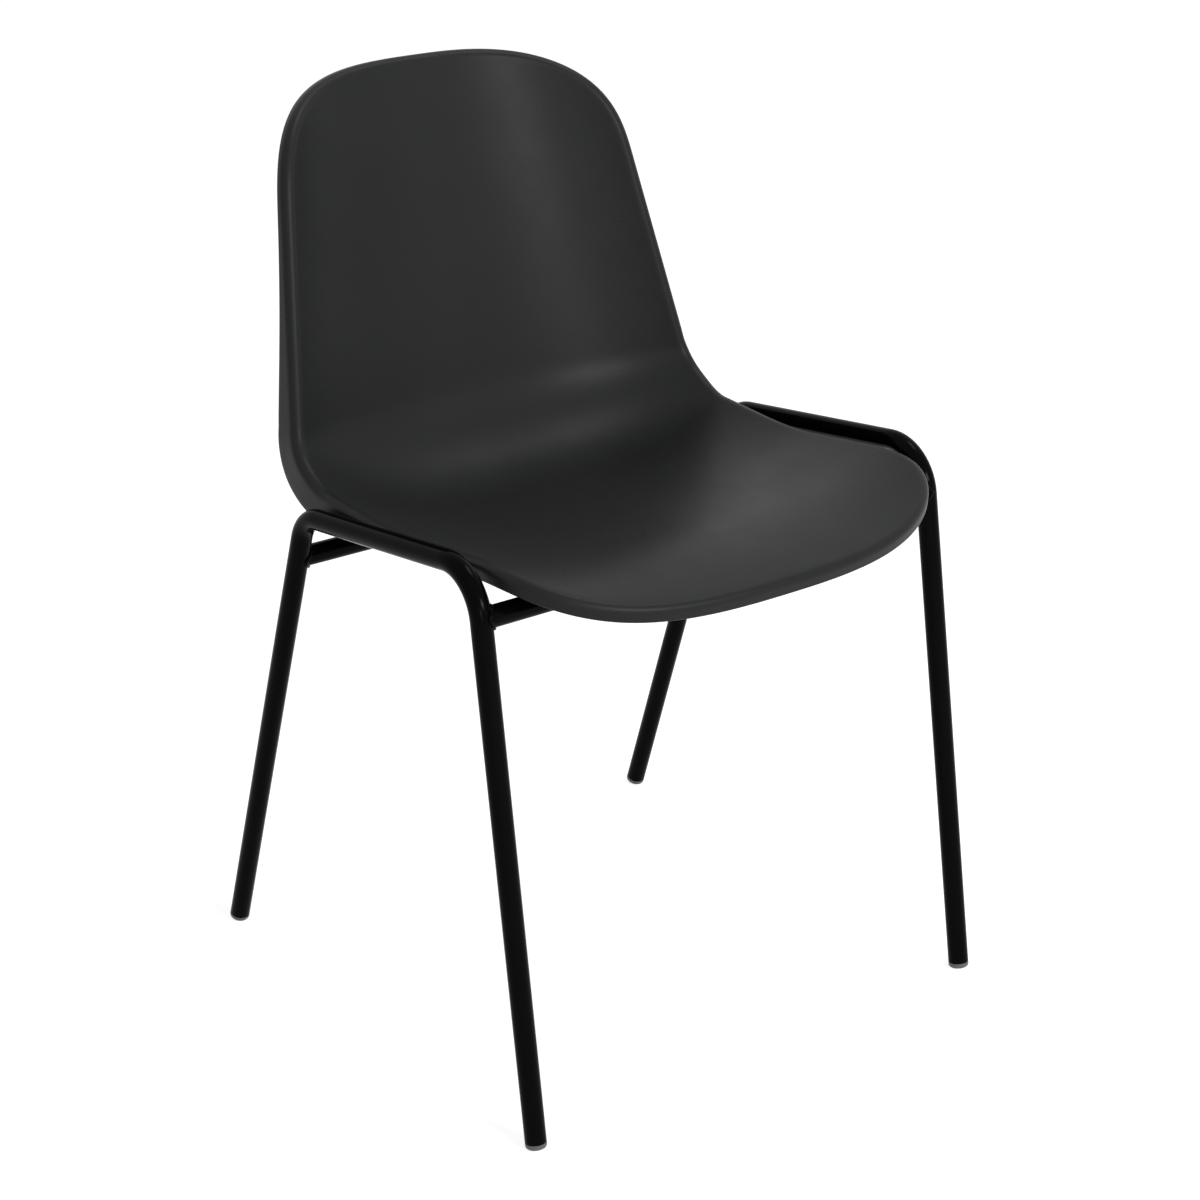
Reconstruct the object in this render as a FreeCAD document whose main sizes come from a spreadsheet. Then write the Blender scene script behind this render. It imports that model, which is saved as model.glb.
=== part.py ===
"""Stacking chair: a moulded one-piece seat shell on a welded frame of round tube.

Millimetres, +Z up. The chair faces -Y. Left and right are as seen from the front, so left is at -X.
"""
import FreeCAD
import Part
import Sketcher
import math
import os

Vector = FreeCAD.Vector
X_AXIS = Vector(1, 0, 0)
Y_AXIS = Vector(0, 1, 0)
Z_AXIS = Vector(0, 0, 1)

# alias, value, meaning. Y values are measured from the middle of the four feet.
DIMENSIONS = [
    ("feet_middle", 5.4, "Y of the middle of the feet in the chair's frame"),
    ("tube_diameter", 18.0, "round tube of the frame, outside"),
    ("tube_wall", 1.5, "wall of that tube"),
    ("foot_half_width", 234.3, "half the spread of the legs at the floor"),
    ("rail_half_width", 230.7, "half the spread of the side rails"),
    ("front_foot", 239.6, "front legs ahead of the middle, at the floor"),
    ("rear_foot", 240.4, "rear legs behind the middle, at the floor"),
    ("front_corner", 171.8, "sharp front corner of the rail, ahead of the middle"),
    ("front_corner_height", 478.5, "its height"),
    ("rear_corner", 80.5, "sharp rear corner of the rail, behind the middle"),
    ("rear_corner_height", 447.7, "its height"),
    ("front_bend_radius", 42.0, "centre line of the front bend"),
    ("rear_bend_radius", 35.0, "centre line of the rear bend"),
    ("front_bar_height", 439.1, "centre of the front crossbar"),
    ("rear_bar_height", 406.4, "centre of the rear crossbar"),
    ("cope_relief", 4.0, "crossbar end cut back from the leg's centre line"),
    ("plug_head", 5.0, "foot plug below the tube"),
    ("plug_round", 2.5, "rounded lower edge of the plug"),
    ("plug_stem", 22.0, "plug inside the tube"),
    ("plug_clearance", 0.1, "stem to bore, on the radius"),
    ("plug_hollow", 4.5, "radius of the hollow in the stem"),
    ("screw_diameter", 5.0, "shell screw, shank"),
    ("screw_head_diameter", 10.0, "shell screw, pan head"),
    ("screw_head_height", 3.5, "shell screw, pan head"),
    ("screw_recess", 5.0, "across the drive recess"),
    ("screw_recess_depth", 2.0, "depth of the drive recess"),
    ("screw_bite", 6.0, "shank above the top of the crossbar"),
    ("hole_clearance", 0.2, "hole to shank, on the radius"),
    ("boss_diameter", 20.0, "moulded boss under the shell"),
    ("front_boss_offset", 115.0, "front screws from the middle plane"),
    ("rear_boss_offset", 95.0, "rear screws from the middle plane"),
    ("shell_wall", 4.0, "moulded wall"),
    ("rim_radius", 7.0, "outer radius of the rolled rim"),
    ("shell_front", 267.5, "front of the shell, ahead of the middle"),
    ("seat_corner", 153.6, "where seat line and back line would meet, behind the middle"),
    ("seat_corner_height", 412.5, "its height"),
    ("seat_pitch", 7.25, "degrees, seat falls to the rear"),
    ("front_rise", 13.1, "degrees, slope of the seat's front edge"),
    ("crown_radius", 369.0, "rolled-over front of the seat"),
    ("bend_radius", 95.0, "seat to back"),
    ("back_rake", 13.85, "degrees, back leans to the rear"),
    ("shell_top", 779.6, "top of the back"),
    ("seat_half_width", 213.6, "outside of the rim"),
    ("back_taper", 0.156, "half width lost per unit of height of the back"),
    ("taper_start", 25.0, "from the middle of the bend, back along the seat"),
    ("taper_blend", 110.0, "length over which the taper grows"),
    ("front_corner_length", 115.6, "length of the rounded front corners"),
    ("front_corner_power", 2.61, "squareness of the front corners"),
    ("top_corner_length", 118.5, "length of the rounded top corners"),
    ("top_corner_power", 2.93, "squareness of the top corners"),
    ("seat_raise", 26.5, "seat sides above the seat's centre line"),
    ("back_raise", 53.8, "back sides ahead of the back's centre line"),
    ("raise_ease", 39.0, "length over which the seat sides rise from the front edge"),
    ("raise_blend", 100.0, "half the length of the change from seat to back"),
    ("raise_lead", 98.7, "middle of that change ahead of the middle of the bend"),
    ("dish_power", 2.99, "how late the dish turns up to its sides"),
    ("front_rim_depth", 14.2, "turned-down rim at the front of the seat"),
    ("top_rim_depth", 11.5, "turned-back rim at the top of the back"),
    ("skirt_depth", 20.2, "extra depth of the rim beside the bend"),
    ("skirt_spread", 145.0, "how far that extra depth reaches"),
]

# how finely the shell's surface is laid out
RADIAL_STEPS = 12
ROLL_STEPS = 5
SKIRT_STEPS = 3
CORNER_STEPS = 10
SIDE_STEPS = 11

# steps for the directions of the shell's surface and of its outline
NORMAL_STEP = 0.5
TURN_STEP = 0.002


# ---------------------------------------------------------------- document helpers

def make_sheet(doc):
    """Spreadsheet with one driving dimension a row."""
    sheet = doc.addObject("Spreadsheet::Sheet", "Dimensions")
    for row, (alias, number, meaning) in enumerate(DIMENSIONS, start=1):
        sheet.set("A%d" % row, alias)
        sheet.set("B%d" % row, str(number))
        sheet.set("C%d" % row, meaning)
        sheet.setAlias("B%d" % row, alias)
    doc.recompute()
    return sheet


def bind(obj, formulas):
    """Tie properties of an object to formulas on the sheet's aliases."""
    for path, formula in formulas.items():
        obj.setExpression(path, formula)


def cell(name):
    """An alias as it is written in a formula."""
    return "Dimensions." + name


def origin_plane(body, role):
    """One of a body's own origin planes."""
    return next(f for f in body.Origin.OriginFeatures if f.Role == role)


LEAN = {
    "front": "atan((%s - %s) / %s)" % tuple(map(cell, ("front_foot", "front_corner", "front_corner_height"))),
    "rear": "atan((%s - %s) / %s)" % tuple(map(cell, ("rear_foot", "rear_corner", "rear_corner_height"))),
}
SPLAY = "atan((%s - %s) / %s)" % tuple(map(cell, ("foot_half_width", "rail_half_width", "front_corner_height")))


def end_height(which):
    """Height of the tube's end, set so that the plug's rounded edge just meets the floor."""
    lean, radius, edge = LEAN[which], cell("tube_diameter") + " / 2", cell("plug_round")
    return "(%s * (1 - cos(%s)) + (%s - %s) * sin(%s) + %s * cos(%s))" % (
        edge, lean, radius, edge, lean, cell("plug_head"), lean)


def leg_reach(which, height):
    """Distance of a leg's centre line from the middle of the feet, at a height."""
    return "(%s - %s * tan(%s))" % (cell(which + "_foot"), height, LEAN[which])


def leg_half_width(height):
    """Half the spread of the two side frames, at a height."""
    return "(%s - %s * tan(%s))" % (cell("foot_half_width"), height, SPLAY)


# ---------------------------------------------------------------- side frames

def bend_points(before, corner, after, radius):
    """Tangent points and centre of an arc that rounds a corner of a path."""
    back = (before - corner).normalize()
    ahead = (after - corner).normalize()
    half = back.getAngle(ahead) / 2
    trim = radius / math.tan(half)
    middle = (back + ahead).normalize() * (radius / math.sin(half))
    return corner + back * trim, corner + ahead * trim, corner + middle


def side_path(doc, sheet, name):
    """Sketch of a side frame's centre line: leg, bend, rail, bend, leg."""
    sketch = doc.addObject("Sketcher::SketchObject", name)
    upright = FreeCAD.Rotation(Y_AXIS, Z_AXIS, X_AXIS, "XYZ")
    lift = sheet.plug_head
    corners = [
        Vector(-sheet.front_foot, lift, 0),
        Vector(-sheet.front_corner, sheet.front_corner_height, 0),
        Vector(sheet.rear_corner, sheet.rear_corner_height, 0),
        Vector(sheet.rear_foot, lift, 0),
    ]
    front = bend_points(corners[0], corners[1], corners[2], sheet.front_bend_radius)
    rear = bend_points(corners[1], corners[2], corners[3], sheet.rear_bend_radius)
    leg_in = sketch.addGeometry(Part.LineSegment(corners[0], front[0]))
    bend_in = sketch.addGeometry(arc_between(front, sheet.front_bend_radius))
    rail = sketch.addGeometry(Part.LineSegment(front[1], rear[0]))
    bend_out = sketch.addGeometry(arc_between(rear, sheet.rear_bend_radius))
    leg_out = sketch.addGeometry(Part.LineSegment(rear[1], corners[3]))
    corner_in = sketch.addGeometry(Part.Point(corners[1]), True)
    corner_out = sketch.addGeometry(Part.Point(corners[2]), True)

    start, end = 1, 2
    rules = [
        ("Tangent", leg_in, end, bend_in, end),
        ("Tangent", bend_in, start, rail, start),
        ("Tangent", rail, end, bend_out, end),
        ("Tangent", bend_out, start, leg_out, start),
        ("PointOnObject", corner_in, start, leg_in),
        ("PointOnObject", corner_in, start, rail),
        ("PointOnObject", corner_out, start, rail),
        ("PointOnObject", corner_out, start, leg_out),
    ]
    for rule in rules:
        sketch.addConstraint(Sketcher.Constraint(*rule))
    origin = (-1, 1)
    front_end, rear_end = end_height("front"), end_height("rear")
    sizes = [
        ("DistanceX", (leg_in, start) + origin, leg_reach("front", front_end), sheet.front_foot),
        ("DistanceY", origin + (leg_in, start), front_end, lift),
        ("DistanceX", (corner_in, start) + origin, cell("front_corner"), sheet.front_corner),
        ("DistanceY", origin + (corner_in, start), cell("front_corner_height"), sheet.front_corner_height),
        ("DistanceX", origin + (corner_out, start), cell("rear_corner"), sheet.rear_corner),
        ("DistanceY", origin + (corner_out, start), cell("rear_corner_height"), sheet.rear_corner_height),
        ("DistanceX", origin + (leg_out, end), leg_reach("rear", rear_end), sheet.rear_foot),
        ("DistanceY", origin + (leg_out, end), rear_end, lift),
        ("Radius", (bend_in,), cell("front_bend_radius"), sheet.front_bend_radius),
        ("Radius", (bend_out,), cell("rear_bend_radius"), sheet.rear_bend_radius),
    ]
    for kind, where, formula, number in sizes:
        index = sketch.addConstraint(Sketcher.Constraint(kind, *where, number))
        sketch.setExpression("Constraints[%d]" % index, formula)
    sketch.Placement = FreeCAD.Placement(Vector(), upright)
    return sketch


def arc_between(bend, radius):
    """The short arc of a bend, from its second tangent point to its first."""
    first, second, centre = bend
    angle = [math.atan2(p.y - centre.y, p.x - centre.x) for p in (second, first)]
    circle = Part.Circle(centre, Z_AXIS, radius)
    return Part.ArcOfCircle(circle, angle[0], angle[1])


def tube_sweep(doc, path, name, radius_formula):
    """Solid rod of a given radius along a side frame's path."""
    ring = doc.addObject("Part::Circle", name + "_section")
    ring.Placement = FreeCAD.Placement(Vector(), FreeCAD.Rotation(Vector(-1, 0, 0), 1))
    bind(ring, {
        "Radius": radius_formula,
        "Placement.Rotation.Angle": LEAN["front"],
        "Placement.Base.y": "-1 * " + leg_reach("front", end_height("front")),
        "Placement.Base.z": end_height("front"),
    })
    rod = doc.addObject("Part::Sweep", name)
    rod.Sections = [ring]
    rod.Spine = (path, ["Edge%d" % (n + 1) for n in range(5)])
    rod.Solid = True
    return rod


def splayed(doc, name, link, side):
    """A solid made on the middle plane, set out to one side and splayed."""
    moved = doc.addObject("Part::Compound", name)
    moved.Links = [link]
    moved.Placement = FreeCAD.Placement(Vector(), FreeCAD.Rotation(Y_AXIS * -side, 1))
    bind(moved, {
        "Placement.Base.x": "%d * %s" % (side, cell("foot_half_width")),
        "Placement.Base.y": cell("feet_middle"),
        "Placement.Rotation.Angle": SPLAY,
    })
    return moved


def side_frames(doc, sheet):
    """Both bent side tubes, and the solid rods that the crossbars are coped to."""
    path = side_path(doc, sheet, "side_centre_line")
    rod = tube_sweep(doc, path, "side_rod", cell("tube_diameter") + " / 2")
    core = tube_sweep(doc, path, "side_core", "%s / 2 - %s" % (cell("tube_diameter"), cell("tube_wall")))
    tube = doc.addObject("Part::Cut", "side_tube")
    tube.Base = rod
    tube.Tool = core
    doc.recompute()
    frames = {}
    rods = {}
    for label, side in (("left", -1), ("right", 1)):
        frames[label] = splayed(doc, label + "_side_frame", tube, side)
        rods[label] = splayed(doc, label + "_rod", rod, side)
    return frames, rods


# ---------------------------------------------------------------- crossbars and screws

def bar_middle(which):
    """Distance of a crossbar's centre behind the middle of the feet."""
    sign = -1 if which == "front" else 1
    return "(%d * %s)" % (sign, leg_reach(which, cell(which + "_bar_height")))


def rod_along_x(doc, name, which, radius_formula):
    """Cylinder on a crossbar's centre line, from leg to leg."""
    half = "(%s - %s)" % (leg_half_width(cell(which + "_bar_height")), cell("cope_relief"))
    rod = doc.addObject("Part::Cylinder", name)
    rod.Placement = FreeCAD.Placement(Vector(), FreeCAD.Rotation(Y_AXIS, 90))
    bind(rod, {
        "Radius": radius_formula,
        "Height": "2 * " + half,
        "Placement.Base.x": "-1 * " + half,
        "Placement.Base.y": "%s + %s" % (cell("feet_middle"), bar_middle(which)),
        "Placement.Base.z": cell(which + "_bar_height"),
    })
    return rod


def screw_place(obj, which, side, height_formula):
    """Stand an object on a screw's centre line at a height."""
    bind(obj, {
        "Placement.Base.x": "%d * %s" % (side, cell(which + "_boss_offset")),
        "Placement.Base.y": "%s + %s" % (cell("feet_middle"), bar_middle(which)),
        "Placement.Base.z": height_formula,
    })


def crossbar(doc, which, rods):
    """Tube between two legs, its ends coped to them, with two through holes for the shell screws."""
    radius = cell("tube_diameter") + " / 2"
    blank = rod_along_x(doc, which + "_bar_rod", which, radius)
    bore = rod_along_x(doc, which + "_bar_bore", which, "%s - %s" % (radius, cell("tube_wall")))
    tools = [bore] + list(rods.values())
    for side in (-1, 1):
        hole = doc.addObject("Part::Cylinder", "%s_bar_hole" % which)
        bind(hole, {
            "Radius": "%s / 2 + %s" % (cell("screw_diameter"), cell("hole_clearance")),
            "Height": "2 * " + cell("tube_diameter"),
        })
        screw_place(hole, which, side, "%s - %s" % (cell(which + "_bar_height"), cell("tube_diameter")))
        tools.append(hole)
    cutter = doc.addObject("Part::MultiFuse", which + "_bar_cutter")
    cutter.Shapes = tools
    bar = doc.addObject("Part::Cut", which + "_crossbar")
    bar.Base = blank
    bar.Tool = cutter
    return bar, blank


def lathe_body(doc, name, corners, rounded=None):
    """Body turned about its own Z axis; corners are (radius formula, height formula) pairs."""
    body = doc.addObject("PartDesign::Body", name)
    sketch = body.newObject("Sketcher::SketchObject", name + "_profile")
    sketch.AttachmentSupport = [(origin_plane(body, "XZ_Plane"), "")]
    sketch.MapMode = "FlatFace"
    count = len(corners)
    points = [Vector(r_guess, z_guess, 0) for r_guess, z_guess, _, _ in corners]
    for n in range(count):
        sketch.addGeometry(Part.LineSegment(points[n], points[(n + 1) % count]))
    for n in range(count):
        sketch.addConstraint(Sketcher.Constraint("Coincident", n, 2, (n + 1) % count, 1))
    for n, (r_guess, z_guess, r_formula, z_formula) in enumerate(corners):
        for kind, guess, formula in (("DistanceX", r_guess, r_formula), ("DistanceY", z_guess, z_formula)):
            index = sketch.addConstraint(Sketcher.Constraint(kind, -1, 1, n, 1, guess))
            if formula:
                sketch.setExpression("Constraints[%d]" % index, formula)
    turned = body.newObject("PartDesign::Revolution", name + "_turned")
    turned.Profile = sketch
    turned.ReferenceAxis = (sketch, ["V_Axis"])
    turned.Angle = 360.0
    doc.recompute()
    if rounded:
        edge, formula = rounded(turned)
        fillet = body.newObject("PartDesign::Fillet", name + "_round")
        fillet.Base = (turned, [edge])
        fillet.setExpression("Radius", formula)
        body.Tip = fillet
        doc.recompute()
    return body


def lowest_rim(turned):
    """Name of the outer round edge of a turned solid's lowest face."""
    best = None
    for n, edge in enumerate(turned.Shape.Edges, start=1):
        if not isinstance(edge.Curve, Part.Circle):
            continue
        key = (round(edge.BoundBox.ZMax, 3), -edge.Curve.Radius)
        if best is None or key < best[0]:
            best = (key, "Edge%d" % n)
    return best[1]


def foot_plug(doc, sheet, which, side):
    """Plastic plug: a head as wide as the tube, and a hollow stem pushed into the bore."""
    label = "%s_%s_foot_plug" % (which, "left" if side < 0 else "right")
    head, stem = sheet.plug_head, sheet.plug_head + sheet.plug_stem
    wide, bore, hollow = sheet.tube_diameter / 2, sheet.tube_diameter / 2 - sheet.tube_wall, sheet.plug_hollow
    wide_f = cell("tube_diameter") + " / 2"
    bore_f = "%s / 2 - %s - %s" % (cell("tube_diameter"), cell("tube_wall"), cell("plug_clearance"))
    stem_f = "%s + %s" % (cell("plug_head"), cell("plug_stem"))
    corners = [
        (0, 0, None, None),
        (wide, 0, wide_f, None),
        (wide, head, wide_f, cell("plug_head")),
        (bore, head, bore_f, cell("plug_head")),
        (bore, stem, bore_f, stem_f),
        (hollow, stem, cell("plug_hollow"), stem_f),
        (hollow, head, cell("plug_hollow"), cell("plug_head")),
        (0, head, None, cell("plug_head")),
    ]
    body = lathe_body(doc, label, corners, lambda t: (lowest_rim(t), cell("plug_round")))
    sign = -1 if which == "front" else 1
    base_height = "(%s - %s * cos(%s))" % (end_height(which), cell("plug_head"), LEAN[which])
    doc.recompute()
    angle_x = sign * math.degrees(math.atan2(
        getattr(sheet, which + "_foot") - getattr(sheet, which + "_corner"),
        getattr(sheet, which + "_corner_height")))
    angle_y = -side * math.degrees(math.atan2(
        sheet.foot_half_width - sheet.rail_half_width, sheet.front_corner_height))
    body.Placement = FreeCAD.Placement(
        Vector(), FreeCAD.Rotation(Y_AXIS, angle_y) * FreeCAD.Rotation(X_AXIS, angle_x))
    bind(body, {
        "Placement.Base.x": "%d * (%s - %s * sin(%s))" % (side, cell("foot_half_width"), base_height, SPLAY),
        "Placement.Base.y": "%s + %d * %s" % (cell("feet_middle"), sign, leg_reach(which, base_height)),
        "Placement.Base.z": "%s * cos(%s)" % (base_height, SPLAY),
    })
    return body


def shell_screw(doc, sheet, which, side):
    """Pan-head screw, up through a crossbar; its head touches the underside of the tube."""
    label = "%s_%s_screw" % (which, "left" if side < 0 else "right")
    shank, head = sheet.screw_diameter / 2, sheet.screw_head_diameter / 2
    tall, recess = sheet.screw_head_height, sheet.screw_recess / 2
    deep = sheet.screw_recess_depth
    tip = tall + sheet.tube_diameter + sheet.screw_bite
    shank_f, head_f = cell("screw_diameter") + " / 2", cell("screw_head_diameter") + " / 2"
    recess_f, tall_f, deep_f = cell("screw_recess") + " / 2", cell("screw_head_height"), cell("screw_recess_depth")
    tip_f = "%s + %s + %s" % (cell("screw_head_height"), cell("tube_diameter"), cell("screw_bite"))
    corners = [
        (0, deep, None, deep_f),
        (recess, deep, recess_f, deep_f),
        (recess, 0, recess_f, None),
        (head, 0, head_f, None),
        (head, tall, head_f, tall_f),
        (shank, tall, shank_f, tall_f),
        (shank, tip, shank_f, tip_f),
        (0, tip, None, tip_f),
    ]
    body = lathe_body(doc, label, corners)
    screw_place(body, which, side, "%s - %s / 2 - %s" % (
        cell(which + "_bar_height"), cell("tube_diameter"), cell("screw_head_height")))
    return body


# ---------------------------------------------------------------- seat shell

def smooth_step(t):
    """0 to 1 with level ends."""
    t = max(0.0, min(1.0, t))
    return t * t * (3 - 2 * t)


class ShellShape:
    """The shell's form, from the sheet.

    run: length along the shell's middle line, from the front edge over the seat and up the back.
    The middle line is crown arc, straight seat, bend and straight back. The rim is an outline in
    (x, run), and the skirt hangs from it.
    """

    def __init__(self, sheet):
        self.size = sheet
        rise = math.radians(sheet.front_rise)
        pitch = -math.radians(sheet.seat_pitch)
        back = math.radians(90 - sheet.back_rake)
        crown = sheet.crown_radius
        start_y = -sheet.shell_front
        seat_y = start_y + crown * (math.sin(rise) - math.sin(pitch))
        seat_z = sheet.seat_corner_height + (seat_y - sheet.seat_corner) * math.tan(pitch)
        start_z = seat_z - crown * (math.cos(pitch) - math.cos(rise))
        trim = sheet.bend_radius * math.tan((back - pitch) / 2)
        bend_y = sheet.seat_corner - trim * math.cos(pitch)
        bend_z = sheet.seat_corner_height - trim * math.sin(pitch)
        back_y = sheet.seat_corner + trim * math.cos(back)
        back_z = sheet.seat_corner_height + trim * math.sin(back)
        # each piece of the middle line: y, z, slope at its start, signed radius, length
        self.pieces = [
            (start_y, start_z, rise, -crown, crown * (rise - pitch)),
            (seat_y, seat_z, pitch, None, (bend_y - seat_y) / math.cos(pitch)),
            (bend_y, bend_z, pitch, sheet.bend_radius, sheet.bend_radius * (back - pitch)),
            (back_y, back_z, back, None, (sheet.shell_top - back_z) / math.sin(back)),
        ]
        lengths = [piece[4] for piece in self.pieces]
        self.bend_run = lengths[0] + lengths[1] + lengths[2] / 2
        self.full_run = sum(lengths)

    def middle(self, run):
        """Y, Z and slope of the middle line."""
        for y, z, slope, radius, length in self.pieces[:-1]:
            if run <= length:
                break
            run -= length
        else:
            y, z, slope, radius, _ = self.pieces[-1]
        if radius is None:
            return y + run * math.cos(slope), z + run * math.sin(slope), slope
        turned = slope + run / radius
        return (y + radius * (math.sin(turned) - math.sin(slope)),
                z - radius * (math.cos(turned) - math.cos(slope)), turned)

    def half_width(self, run):
        """Middle plane to the outside of the rim; the back narrows upwards."""
        size = self.size
        along = run - self.bend_run + size.taper_start
        if along <= 0:
            return size.seat_half_width
        if along < size.taper_blend:
            return size.seat_half_width - size.back_taper * along ** 2 / (2 * size.taper_blend)
        return size.seat_half_width - size.back_taper * (along - size.taper_blend / 2)

    def change(self, run, seat_value, back_value):
        """Smooth change from a value for the seat to one for the back."""
        blend = self.size.raise_blend
        share = smooth_step((run - self.bend_run + self.size.raise_lead + blend) / (2 * blend))
        return seat_value + (back_value - seat_value) * share

    def side_raise(self, run):
        """How far the sides stand above the middle line, square to it."""
        ease = 1 - math.exp(-max(run, 0.0) / self.size.raise_ease)
        return ease * self.change(run, self.size.seat_raise, self.size.back_raise)

    def point(self, x, run):
        """Upper side of the shell."""
        y, z, slope = self.middle(run)
        up = self.side_raise(run) * abs(x / self.half_width(run)) ** self.size.dish_power
        return Vector(x, self.size.feet_middle + y - math.sin(slope) * up, z + math.cos(slope) * up)

    def normal(self, x, run):
        """Square to the upper side, away from the shell."""
        across = self.point(x + NORMAL_STEP, run) - self.point(x - NORMAL_STEP, run)
        along = self.point(x, run + NORMAL_STEP) - self.point(x, run - NORMAL_STEP)
        return across.cross(along).normalize()

    def outline(self, turn, inset):
        """X and run of the outline, inset from the rim; turn 0 to 1 is front, side, top."""
        size = self.size
        steps = 2 * CORNER_STEPS + SIDE_STEPS
        front_share, top_share = CORNER_STEPS / steps, 1 - CORNER_STEPS / steps
        front, top = inset, self.full_run - inset
        front_length = size.front_corner_length - inset
        top_length = size.top_corner_length - inset
        if turn <= front_share:
            angle = turn / front_share * math.pi / 2
            power = 2 / size.front_corner_power
            run = front + front_length * (1 - math.cos(angle) ** power)
            return (self.half_width(run) - inset) * math.sin(angle) ** power, run
        if turn < top_share:
            share = (turn - front_share) / (top_share - front_share)
            run = front + front_length + share * (top - top_length - front - front_length)
            return self.half_width(run) - inset, run
        angle = (1 - turn) / (1 - top_share) * math.pi / 2
        power = 2 / size.top_corner_power
        run = top - top_length * (1 - math.cos(angle) ** power)
        return (self.half_width(run) - inset) * math.sin(angle) ** power, run

    def rim(self, turn, side):
        """Point where the rolled rim starts; a turn past 0 or 1 goes on to the other side."""
        x, run = self.outline(abs(turn) if turn <= 1 else 2 - turn, self.size.rim_radius)
        crossed = turn < 0 or turn > 1
        return self.point(-x * side if crossed else x * side, run)

    def skirt(self, run):
        """Depth of the rim and skirt, square to the middle line."""
        size = self.size
        rim = self.change(run, size.front_rim_depth, size.top_rim_depth)
        return rim + size.skirt_depth * math.exp(-((run - self.bend_run) / size.skirt_spread) ** 2)

    def section(self, turn, side):
        """Outer and inner points from the pole over the rim to the skirt's edge, at one place."""
        size = self.size
        radius, wall = size.rim_radius, size.shell_wall
        x_rim, run_rim = self.outline(turn, radius)
        x_rim *= side
        pole_run = self.full_run / 2
        outer, inner = [], []
        for step in range(RADIAL_STEPS + 1):
            share = step / RADIAL_STEPS
            x, run = x_rim * share, pole_run + (run_rim - pole_run) * share
            normal = self.normal(x, run)
            outer.append(self.point(x, run))
            inner.append(outer[-1] - normal * wall)
        along = (self.rim(turn + TURN_STEP, side) - self.rim(turn - TURN_STEP, side)).normalize()
        outward = along.cross(normal).normalize()
        if outward.dot(outer[-1] - outer[-3]) < 0:
            outward = outward * -1
        slope = self.middle(run_rim)[2]
        down = Vector(0, math.sin(slope), -math.cos(slope))
        down = (down - along * down.dot(along)).normalize()
        angle = math.acos(max(-1.0, min(1.0, outward.dot(down))))
        centre = outer[-1] - normal * radius
        for step in range(1, ROLL_STEPS + 1):
            turned = angle * step / ROLL_STEPS
            ray = outward * math.sin(turned) + normal * math.cos(turned)
            outer.append(centre + ray * radius)
            inner.append(centre + ray * (radius - wall))
        heading = outward * math.cos(angle) - normal * math.sin(angle)
        length = self.skirt(run_rim) - radius
        ends = outer[-1], inner[-1]
        for step in range(1, SKIRT_STEPS + 1):
            reach = heading * (length * step / SKIRT_STEPS)
            outer.append(ends[0] + reach)
            inner.append(ends[1] + reach)
        return outer, inner


def skin(rings):
    """Smooth face over closed rings of points; the first ring is a single point, the pole."""
    count = len(rings[0])
    around = [float(n) for n in range(count + 1)]
    columns = []
    for ring in rings[1:]:
        curve = Part.BSplineCurve()
        curve.interpolate(Points=ring, PeriodicFlag=True, Parameters=around)
        columns.append(curve.getPoles())
    columns.insert(0, [rings[0][0]] * len(columns[0]))
    steps = [0.0]
    for before, after in zip(rings, rings[1:]):
        steps.append(steps[-1] + sum((p - q).Length for p, q in zip(before, after)) / count)
    poles = []
    for line in zip(*columns):
        radial = Part.BSplineCurve()
        radial.interpolate(Points=list(line), Parameters=steps)
        poles.append(radial.getPoles())
    surface = Part.BSplineSurface()
    surface.buildFromPolesMultsKnots(
        poles, curve.getMultiplicities(), radial.getMultiplicities(), curve.getKnots(), radial.getKnots(),
        True, False, curve.Degree, radial.Degree)
    return surface.toShape()


def moulded_shell(sheet):
    """Closed solid between the shell's outer and inner skins."""
    shape = ShellShape(sheet)
    half_steps = 2 * CORNER_STEPS + SIDE_STEPS
    sections = []
    for count in range(2 * half_steps):
        turn = abs(1 - count / half_steps)
        side = 1 if count <= half_steps else -1
        sections.append(shape.section(turn, side))
    faces = [skin(list(zip(*[section[layer] for section in sections]))) for layer in (0, 1)]
    lips = [max(face.Edges, key=lambda edge: edge.Length) for face in faces]
    faces.append(Part.makeRuledSurface(lips[0], lips[1]))
    sewn = Part.makeShell(faces)
    sewn.sewShape()
    solid = Part.Solid(sewn)
    if solid.Volume < 0:
        solid.reverse()
    return solid


def drilled_bosses(sheet, shell, bars):
    """The shell with four bosses that sit on the crossbars and take the screws."""
    past_shell = 4 * sheet.boss_diameter
    for which, sign in (("front", -1), ("rear", 1)):
        height = getattr(sheet, which + "_bar_height")
        reach = leg_distance(sheet, which, height)
        for side in (-1, 1):
            foot = Vector(side * getattr(sheet, which + "_boss_offset"), sheet.feet_middle + sign * reach, height)
            tall = Part.makeCylinder(sheet.boss_diameter / 2, past_shell, foot, Z_AXIS)
            boss = min(tall.cut(shell).Solids, key=lambda solid: solid.CenterOfMass.z)
            boss = boss.cut(bars[which].Shape)
            pilot = Part.makeCylinder(
                sheet.screw_diameter / 2 + sheet.hole_clearance,
                sheet.tube_diameter / 2 + sheet.screw_bite + sheet.hole_clearance, foot, Z_AXIS)
            shell = shell.fuse(boss).cut(pilot)
    return max(shell.Solids, key=lambda solid: solid.Volume)


def leg_distance(sheet, which, height):
    """Distance of a leg's centre line from the middle of the feet, at a height."""
    foot, corner = getattr(sheet, which + "_foot"), getattr(sheet, which + "_corner")
    return foot - height * (foot - corner) / getattr(sheet, which + "_corner_height")


# ---------------------------------------------------------------- assembly

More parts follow.
